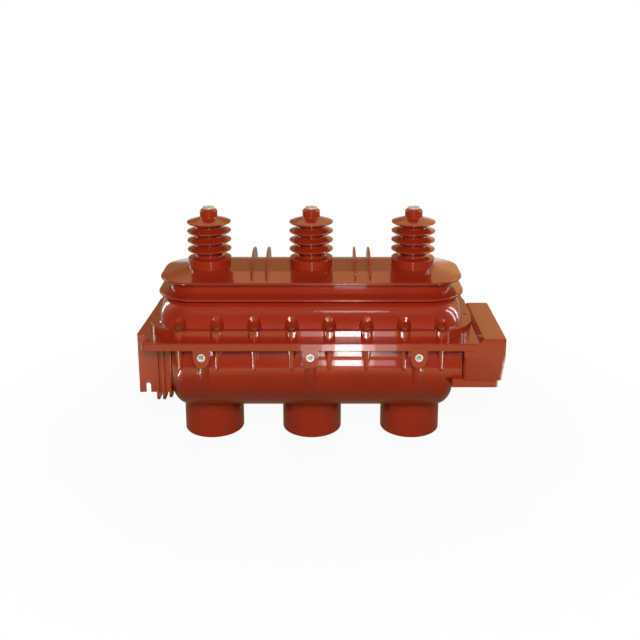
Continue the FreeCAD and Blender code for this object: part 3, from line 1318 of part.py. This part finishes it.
def base_middle():
    """Move from the layout's origin to the middle of the part's base."""
    front = RAIL_FRONT + LUG_PROUD + EARTH_PROUD
    rear = RUPTURE_FACE_Y + VALVE_HEX_T + VALVE_CAP_H
    return V((BRACKET_LEFT - HOUSING_RIGHT) / 2, (front - rear) / 2, 0)


def main():
    os.makedirs("parts", exist_ok=True)
    shift = base_middle()
    for name, make in NODES.items():
        solids = []
        for piece in make():
            solids += piece.Solids
        shape = solids[0] if len(solids) == 1 else Part.makeCompound(solids)
        shape.translate(shift)
        shape.exportStep(os.path.join("parts", name + ".step"))
        print(name, len(solids), "valid" if shape.isValid() else "INVALID", round(shape.Volume / 1000, 2))
    print("shift", shift)


main()
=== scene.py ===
"""Gas insulated switch: finishes, terminal threads, studio and camera.

Lengths are in metres and angles in degrees; the camera's lens and sensor are in millimetres.
A lamp's power is in watts, or its radiance is given where only the gloss shows it.
"""

import json
import math

import bmesh
import bpy
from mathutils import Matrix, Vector


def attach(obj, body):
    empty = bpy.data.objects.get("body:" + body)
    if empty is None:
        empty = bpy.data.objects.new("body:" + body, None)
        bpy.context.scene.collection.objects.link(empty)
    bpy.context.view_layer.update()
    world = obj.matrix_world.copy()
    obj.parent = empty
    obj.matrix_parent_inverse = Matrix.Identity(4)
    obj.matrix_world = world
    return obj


# Noise in the finishes: (scale, detail)
EPOXY_CLOUD = (9.0, 3.0)
EPOXY_FINE = (240.0, 2.0)
EPOXY_FLOW = (55.0, 2.0)
METAL_SMEAR = (70.0, 3.0)
METAL_GRAIN = (900.0, 2.0)
PLASTIC_CLOUD = (25.0, 3.0)
PLASTIC_GRAIN = (1400.0, 2.0)
RUBBER_CLOUD = (60.0, 3.0)

# Depth of the bumps
EPOXY_FLOW_DEPTH = 0.00003
METAL_GRAIN_DEPTH = 0.00003
PLASTIC_GRAIN_DEPTH = 0.00002

# Cast epoxy
EPOXY_DARK = (0.355, 0.023, 0.006, 1)
EPOXY_LIGHT = (0.385, 0.028, 0.008, 1)
EPOXY_CLOUD_RANGE = (0.3, 0.7)
EPOXY_FINE_RANGE = (0.4, 0.75)
EPOXY_ROUGH = 0.28
EPOXY_ROUGH_SPREAD = 0.08
EPOXY_SPECULAR = 0.2
EPOXY_COAT_ROUGH = 0.05
EPOXY_COAT_IOR = 1.5

# Metals by material slot or own finish: (material's name, colour, roughness, share of metal)
METALS = {
    "terminal_metal": ("tinned_terminal", (0.97, 0.84, 0.75, 1), 0.38, 0.45),
    "copper": ("contact_copper", (0.78, 0.40, 0.25, 1), 0.2, 1.0),
    "insert_brass": ("insert_brass", (0.80, 0.58, 0.28, 1), 0.25, 1.0),
    "zinc_steel": ("zinc_steel", (0.62, 0.63, 0.65, 1), 0.3, 1.0),
    "earth_insert": ("plated_insert", (0.96, 0.93, 0.90, 1), 0.45, 0.25),
    "flange_screw": ("browned_screw", (0.45, 0.12, 0.06, 1), 0.4, 0.6),
    "cast_alloy": ("cast_alloy", (0.72, 0.73, 0.74, 1), 0.35, 1.0),
}
METAL_DULL = 0.8
METAL_SMEAR_RANGE = (0.35, 0.75)
METAL_ROUGH_SPREAD = 0.16

# Plastics by material slot: (material's name, colour, roughness)
PLASTICS = {
    "shaft_plastic": ("shaft_resin", (0.62, 0.52, 0.36, 1), 0.4),
    "frame_plastic": ("frame_plastic", (0.72, 0.70, 0.62, 1), 0.5),
}
PLASTIC_PALE = 1.08
PLASTIC_ROUGH_SPREAD = 0.1

# Seal rubber
RUBBER_DARK = (0.012, 0.012, 0.012, 1)
RUBBER_BLOOM = (0.03, 0.03, 0.03, 1)
RUBBER_ROUGH = 0.55
RUBBER_ROUGH_SPREAD = 0.2

# Nodes whose finish is not that of their material slot
OWN_FINISH = {"flange_screws": "flange_screw", "earth_inserts": "earth_insert"}

# Threads: pitch as a share of the radius, height and the depths of the first tooth's three corners
# in pitches, steps in a turn, and how far the foot of the ridge is sunk in the metal
THREAD_PITCH = 0.3
THREAD_HEIGHT = 0.5
THREAD_CORNERS = (0.58, 1.0, 1.42)
THREAD_STEPS = 18
THREAD_SEAT = 0.00015

# Floor: white to the eye and grey paper to the surfaces; to the gloss it glows, with no lamp, as a painted
# reflection of a dim warm table with a brighter painted glow ring
FLOOR_REACH = 8.0
FLOOR_WHITE = (0.9, 0.9, 0.9, 1)
FLOOR_ROUGH = 0.9
FLOOR_GLOW = 0.93
GLOW_REACH = (0.35, 0.9)
# Painted reflection: the floor glows with these warm tones to the gloss alone, brighter in a ring between the
# two reaches below
PAINTED_TABLE_GLOW = (0.20, 0.12, 0.05, 1)
PAINTED_GLOW_RING = (1.0, 0.92, 0.42, 1)
GLOW_RING_INNER = (0.4, 0.72)
GLOW_RING_OUTER = (0.85, 1.1)
TABLE_BEHIND = (0.0, 0.4)
TABLE_BEHIND_WHITE = 0.12
PAPER = (0.24, 0.21, 0.18, 1)
WHITE = (1, 1, 1, 1)

# Room: soft light for the surfaces, and for their gloss walls, a ceiling and a low white backdrop.
# The ranges are shares of the direction's length: to the side, to behind or up
BACKDROP_BEHIND = (0.2, 0.5)
BACKDROP_TOP = (0.02, 0.12)
SOFT_RISE = (-0.2, 0.9)
WALL_SIDE = (0.03, 0.26)
WALL_RISE = (0.4, 0.7)
WALL_BEHIND = (0.0, 0.5)
CEILING_RISE = (0.86, 0.98)
SOFT_LOW = (0.06, 0.058, 0.056, 1)
SOFT_HIGH = (0.075, 0.073, 0.07, 1)
WALL_LEFT = (0.34, 0.19, 0.07, 1)
WALL_RIGHT = (1.0, 0.56, 0.20, 1)
WALL_TOP = (1.2, 0.78, 0.36, 1)
WALL_FRONT = (0.12, 0.10, 0.08, 1)
CEILING = (0.45, 0.36, 0.27, 1)

# Diffuse boxes: (name, place, width, height, power), all aimed at the drum
DRUM_MIDDLE = (0.0, 0.0, 0.25)
DIFFUSE_BOXES = (
    ("key_box", (0.1, -2.4, 1.65), 1.2, 0.8, 60.0),
    ("back_fill", (0.0, 2.8, 0.9), 1.6, 1.0, 38.0),
    ("left_fill", (-2.8, 0.9, 0.7), 1.6, 1.0, 15.0),
    ("right_fill", (2.8, 0.9, 0.7), 1.6, 1.0, 15.0),
)

# Gloss boxes: (name, place, aim, width, height, radiance)
GLOSS_BOXES = (
    ("table_line", (0.09, -1.65, 0.004), (0.09, -1.65, 1.0), 0.1, 1.1, 3.0),
    ("column_line", (-0.52, -0.48, 0.004), (-0.52, -0.48, 1.0), 0.05, 0.40, 22.0),
    ("column_line", (0.56, -0.48, 0.004), (0.56, -0.48, 1.0), 0.05, 0.40, 22.0),
    ("high_box", (0.13, -0.6, 2.7), DRUM_MIDDLE, 0.3, 0.25, 5.0),
    ("right_strip", (2.0, 0.05, 1.4), (0.3, 0.0, 0.3), 0.14, 1.5, 14.0),
    ("right_strip", (2.0, 0.55, 1.2), (0.3, 0.0, 0.3), 0.14, 1.5, 14.0),
    ("left_strip", (-1.9, 1.1, 1.0), (-0.3, 0.0, 0.3), 0.2, 1.2, 12.0),
)

# Gloss boxes with a bright middle: (name, place, step along Y from layer to layer, aim, width, height),
# and their layers, each narrower than the one behind it: (share of the width, radiance)
LAYERED_BOXES = (
    ("rail_board", (0.06, -0.30, 0.195), -0.003, (0.06, -0.1, 0.235), 0.20, 0.042),
    ("window_column", (0.13, -3.0, 1.05), 0.02, (0.0, 0.0, 0.3), 0.5, 0.6),
)
LAYERS = ((1.0, 2.5), (0.55, 4.0), (0.28, 16.0))

# Camera that fits the photograph
CAMERA_AT = (0.01602, -1.75617, 0.88300)
CAMERA_TILT = 76.308
CAMERA_LENS = 49.446
CAMERA_SHIFT = (-0.0116, -0.1563)
SENSOR = 36.0


class Value:
    """A socket of a node tree that can be written in sums."""

    def __init__(self, tree, socket):
        self.tree = tree
        self.socket = socket

    def math(self, operation, *others):
        return self.tree.node("ShaderNodeMath", {"operation": operation}, self, *others)

    def __add__(self, other):
        return self.math("ADD", other)

    __radd__ = __add__

    def __mul__(self, other):
        return self.math("MULTIPLY", other)

    __rmul__ = __mul__

    def __rsub__(self, other):
        return self.tree.node("ShaderNodeMath", {"operation": "SUBTRACT"}, other, self)

    def __pow__(self, other):
        return self.math("POWER", other)

    def clamped(self):
        return self.tree.node("ShaderNodeClamp", {}, self, 0.0, 1.0)

    def ramp(self, low, high):
        """Zero at low and one at high."""
        smooth = {"interpolation_type": "SMOOTHSTEP"}
        return self.tree.node("ShaderNodeMapRange", smooth, self, low, high, 0.0, 1.0)


class Tree:
    """Node tree of one finish or of the world."""

    def __init__(self, nodes):
        self.nodes = nodes.nodes
        self.links = nodes.links

    def put(self, socket, value):
        """Link a Value to the socket, or write a plain number or colour in it."""
        if isinstance(value, Value):
            self.links.new(value.socket, socket)
        else:
            socket.default_value = value

    def node(self, kind, settings, *inputs, out=0, **named):
        """New node with its settings, then its sockets by order and by name (_ for a space)."""
        made = self.nodes.new(kind)
        for name, value in settings.items():
            setattr(made, name, value)
        for index, value in enumerate(inputs):
            self.put(made.inputs[index], value)
        for name, value in named.items():
            self.put(made.inputs[name.replace("_", " ")], value)
        return Value(self, made.outputs[out])

    def place(self):
        """Object coordinates."""
        return self.node("ShaderNodeTexCoord", {}, out=3)

    def direction(self):
        """Direction of a ray, in the world's tree."""
        return self.node("ShaderNodeTexCoord", {}, out=0)

    def split(self, vector):
        """The three numbers of a vector."""
        made = self.nodes.new("ShaderNodeSeparateXYZ")
        self.put(made.inputs[0], vector)
        return [Value(self, socket) for socket in made.outputs]

    def noise(self, scale, detail):
        return self.node("ShaderNodeTexNoise", {}, Vector=self.place(), Scale=scale, Detail=detail)

    def blend(self, amount, first, second):
        """Colour that goes from first to second."""
        made = self.nodes.new("ShaderNodeMix")
        made.data_type = "RGBA"
        for index, value in zip((0, 6, 7), (amount, first, second)):
            self.put(made.inputs[index], value)
        return Value(self, made.outputs[2])

    def bump(self, height, distance):
        return self.node("ShaderNodeBump", {}, Height=height, Distance=distance)


def finish(name):
    """New material with its tree and its shader."""
    material = bpy.data.materials.new(name)
    material.use_nodes = True
    tree = Tree(material.node_tree)
    return material, tree, material.node_tree.nodes["Principled BSDF"]


def cast_epoxy():
    """Glossy red-brown casting resin with a faint flow texture."""
    material, tree, shader = finish("cast_epoxy")
    cloud = tree.noise(*EPOXY_CLOUD).ramp(*EPOXY_CLOUD_RANGE)
    fine = tree.noise(*EPOXY_FINE).ramp(*EPOXY_FINE_RANGE)
    tree.put(shader.inputs["Base Color"], tree.blend(cloud, EPOXY_DARK, EPOXY_LIGHT))
    tree.put(shader.inputs["Roughness"], EPOXY_ROUGH + fine * EPOXY_ROUGH_SPREAD)
    tree.put(shader.inputs["Normal"], tree.bump(tree.noise(*EPOXY_FLOW), EPOXY_FLOW_DEPTH))
    shader.inputs["Specular IOR Level"].default_value = EPOXY_SPECULAR
    shader.inputs["Coat Weight"].default_value = 1.0
    shader.inputs["Coat Roughness"].default_value = EPOXY_COAT_ROUGH
    shader.inputs["Coat IOR"].default_value = EPOXY_COAT_IOR
    return material


def turned_metal(name, tint, rough, metal):
    """Metal with a fine grain and duller smears."""
    material, tree, shader = finish(name)
    smear = tree.noise(*METAL_SMEAR)
    dull = tuple(channel * METAL_DULL for channel in tint[:3]) + (1,)
    tree.put(shader.inputs["Base Color"], tree.blend(smear.ramp(*METAL_SMEAR_RANGE), tint, dull))
    tree.put(shader.inputs["Roughness"], rough + smear * METAL_ROUGH_SPREAD)
    tree.put(shader.inputs["Normal"], tree.bump(tree.noise(*METAL_GRAIN), METAL_GRAIN_DEPTH))
    shader.inputs["Metallic"].default_value = metal
    return material


def moulded_plastic(name, tint, rough):
    """Matt moulding with soft clouds and a fine grain."""
    material, tree, shader = finish(name)
    cloud = tree.noise(*PLASTIC_CLOUD)
    pale = tuple(min(1.0, channel * PLASTIC_PALE) for channel in tint[:3]) + (1,)
    tree.put(shader.inputs["Base Color"], tree.blend(cloud, tint, pale))
    tree.put(shader.inputs["Roughness"], rough + cloud * PLASTIC_ROUGH_SPREAD)
    tree.put(shader.inputs["Normal"], tree.bump(tree.noise(*PLASTIC_GRAIN), PLASTIC_GRAIN_DEPTH))
    return material


def seal_rubber():
    """Black rubber with a dusty bloom."""
    material, tree, shader = finish("seal_rubber")
    bloom = tree.noise(*RUBBER_CLOUD)
    tree.put(shader.inputs["Base Color"], tree.blend(bloom, RUBBER_DARK, RUBBER_BLOOM))
    tree.put(shader.inputs["Roughness"], RUBBER_ROUGH + bloom * RUBBER_ROUGH_SPREAD)
    return material


def finishes():
    """Every finish, by material slot or own finish."""
    looks = {"epoxy": cast_epoxy(), "seal_rubber": seal_rubber()}
    looks.update({slot: turned_metal(*values) for slot, values in METALS.items()})
    looks.update({slot: moulded_plastic(*values) for slot, values in PLASTICS.items()})
    return looks


def dress_nodes(frame, looks):
    """Give every CAD node its finish."""
    for part in frame["record"]["subparts"]:
        node = frame["nodes"][part["node"]]
        node.data.materials.clear()
        node.data.materials.append(looks[OWN_FINISH.get(part["node"], part["material_slot"])])


def place_in_scene(name, data):
    """New object in the scene."""
    made = bpy.data.objects.new(name, data)
    bpy.context.scene.collection.objects.link(made)
    return made


def thread_ridge(mouth, axis, radius, depth):
    """Helical ridge of a threaded hole, from its mouth inwards."""
    pitch = radius * THREAD_PITCH
    turns = int(depth / pitch) - 1
    foot = radius + THREAD_SEAT
    crest = radius - pitch * THREAD_HEIGHT
    corners = zip((foot, crest, foot), THREAD_CORNERS)
    ridge = bmesh.new()
    tooth = ridge.faces.new([ridge.verts.new((x, 0, -pitch * z)) for x, z in corners])
    bmesh.ops.spin(ridge, geom=[tooth], cent=(0, 0, 0), axis=(0, 0, 1), angle=math.tau * turns,
                   dvec=(0, 0, -pitch / THREAD_STEPS), steps=turns * THREAD_STEPS)
    bmesh.ops.recalc_face_normals(ridge, faces=ridge.faces)
    place = Vector(axis).to_track_quat("Z", "Y").to_matrix().to_4x4()
    place.translation = mouth
    bmesh.ops.transform(ridge, matrix=place, verts=ridge.verts)
    return ridge


def terminal_threads(frame, looks):
    """Threads of the terminals and of the earth inserts."""
    mesh = bpy.data.meshes.new("terminal_threads")
    threads = bmesh.new()
    for mount in frame["record"]["mounts"]:
        if mount["kind"] == "threaded_hole":
            size = mount["dims"]
            ridge = thread_ridge(mount["pos_m"], mount["axis"], size["r_mm"] / 1000, size["length_mm"] / 1000)
            ridge.to_mesh(mesh)
            ridge.free()
            threads.from_mesh(mesh)
    threads.to_mesh(mesh)
    threads.free()
    mesh.materials.append(looks["terminal_metal"])
    piece = place_in_scene("terminal_threads", mesh)
    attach(piece, "casing")


def light_path(tree, *rays):
    """One for each kind of ray that is named."""
    path = tree.nodes.new("ShaderNodeLightPath")
    total = 0.0
    for ray in rays:
        total = Value(tree, path.outputs["Is " + ray + " Ray"]) + total
    return total


def studio_floor():
    """White table that keeps the shadow; it lights the switch from below as grey paper would, and to the
    gloss it glows as a painted reflection of a warm table with a brighter ring.
    """
    mesh = bpy.data.meshes.new("floor")
    shape = bmesh.new()
    bmesh.ops.create_grid(shape, x_segments=1, y_segments=1, size=FLOOR_REACH)
    shape.to_mesh(mesh)
    shape.free()
    floor = place_in_scene("floor", mesh)
    material, tree, shader = finish("floor_sheet")
    shader.inputs["Base Color"].default_value = FLOOR_WHITE
    shader.inputs["Roughness"].default_value = FLOOR_ROUGH
    shader.inputs["Specular IOR Level"].default_value = 0.0
    x, y = tree.split(tree.place())[:2]
    reach = (x * x + y * y) ** 0.5
    # Painted reflection: to glossy rays the floor glows dim warm, brighter in a ring round the switch, though
    # it is no lamp
    glow_ring = reach.ramp(*GLOW_RING_INNER) * (1 - reach.ramp(*GLOW_RING_OUTER))
    painted_gloss_glow = tree.blend(glow_ring, PAINTED_TABLE_GLOW, PAINTED_GLOW_RING)
    in_gloss = light_path(tree, "Glossy") * (1 - y.ramp(*TABLE_BEHIND) * TABLE_BEHIND_WHITE)
    glow = tree.node("ShaderNodeEmission", {}, tree.blend(in_gloss, WHITE, painted_gloss_glow), 1.0)
    share = FLOOR_GLOW + reach.ramp(*GLOW_REACH) * (1 - FLOOR_GLOW)
    seen = tree.node("ShaderNodeMixShader", {}, share, Value(tree, shader.outputs[0]), glow)
    paper = tree.node("ShaderNodeBsdfDiffuse", {}, PAPER)
    direct = light_path(tree, "Camera", "Glossy", "Transmission")
    tree.put(tree.nodes["Material Output"].inputs["Surface"],
             tree.node("ShaderNodeMixShader", {}, direct, paper, seen))
    mesh.materials.append(material)


def studio_world():
    """White to the eye all round; the gloss shows a dim warm room with a low white backdrop."""
    world = bpy.data.worlds.new("studio")
    bpy.context.scene.world = world
    world.use_nodes = True
    tree = Tree(world.node_tree)
    side, behind, up = tree.split(tree.direction())
    gloss = light_path(tree, "Glossy")
    backdrop = behind.ramp(*BACKDROP_BEHIND) * (1 - up.ramp(*BACKDROP_TOP))
    soft = tree.blend(up.ramp(*SOFT_RISE), SOFT_LOW, SOFT_HIGH)
    wall = tree.blend(side.ramp(*WALL_SIDE), WALL_LEFT, WALL_RIGHT)
    wall = tree.blend(up.ramp(*WALL_RISE), wall, WALL_TOP)
    wall = tree.blend(behind.ramp(*WALL_BEHIND), WALL_FRONT, wall)
    room = tree.blend(up.ramp(*CEILING_RISE), wall, CEILING)
    tone = tree.blend(gloss, soft, room)
    white = (light_path(tree, "Camera", "Transmission") + gloss * backdrop).clamped()
    tree.put(tree.nodes["Background"].inputs["Color"], tree.blend(white, tone, WHITE))
    bpy.context.scene.view_settings.view_transform = "Standard"


def box_lamp(name, at, aim, width, height, power, gloss):
    """Rectangular lamp that only the gloss shows, or that the gloss leaves out."""
    light = bpy.data.lights.new(name, "AREA")
    light.shape = "RECTANGLE"
    light.size = width
    light.size_y = height
    light.energy = power
    lamp = place_in_scene(name, light)
    lamp.location = at
    lamp.visible_camera = False
    lamp.visible_glossy = gloss
    lamp.visible_diffuse = not gloss
    lamp.rotation_euler = (Vector(aim) - Vector(at)).to_track_quat("-Z", "Y").to_euler()


def gloss_box(name, at, aim, width, height, radiance):
    """Lamp for the gloss alone, by how bright it looks there."""
    box_lamp(name, at, aim, width, height, radiance * math.pi * width * height, True)


def studio_lights():
    """Broad boxes that light the surfaces, and narrow ones for the gloss alone."""
    for name, at, width, height, power in DIFFUSE_BOXES:
        box_lamp(name, at, DRUM_MIDDLE, width, height, power, False)
    for layer, (share, radiance) in enumerate(LAYERS):
        for name, (x, y, z), step, aim, width, height in LAYERED_BOXES:
            gloss_box(name, (x, y + layer * step, z), aim, share * width, height, radiance)
    for box in GLOSS_BOXES:
        gloss_box(*box)


def photo_camera():
    """Camera of the photograph."""
    data = bpy.data.cameras.new("camera")
    data.sensor_width = SENSOR
    data.lens = CAMERA_LENS
    data.shift_x, data.shift_y = CAMERA_SHIFT
    camera = place_in_scene("camera", data)
    camera.location = CAMERA_AT
    camera.rotation_euler = (math.radians(CAMERA_TILT), 0, 0)
    bpy.context.scene.camera = camera


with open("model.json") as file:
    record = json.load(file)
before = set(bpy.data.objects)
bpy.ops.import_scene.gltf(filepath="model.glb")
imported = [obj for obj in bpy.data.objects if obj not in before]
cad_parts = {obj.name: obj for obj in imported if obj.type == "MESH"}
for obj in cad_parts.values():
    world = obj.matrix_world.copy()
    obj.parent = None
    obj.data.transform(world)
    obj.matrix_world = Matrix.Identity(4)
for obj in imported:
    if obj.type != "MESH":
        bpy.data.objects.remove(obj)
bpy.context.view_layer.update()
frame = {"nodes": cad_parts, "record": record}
looks = finishes()
dress_nodes(frame, looks)
terminal_threads(frame, looks)
studio_floor()
studio_world()
studio_lights()
photo_camera()
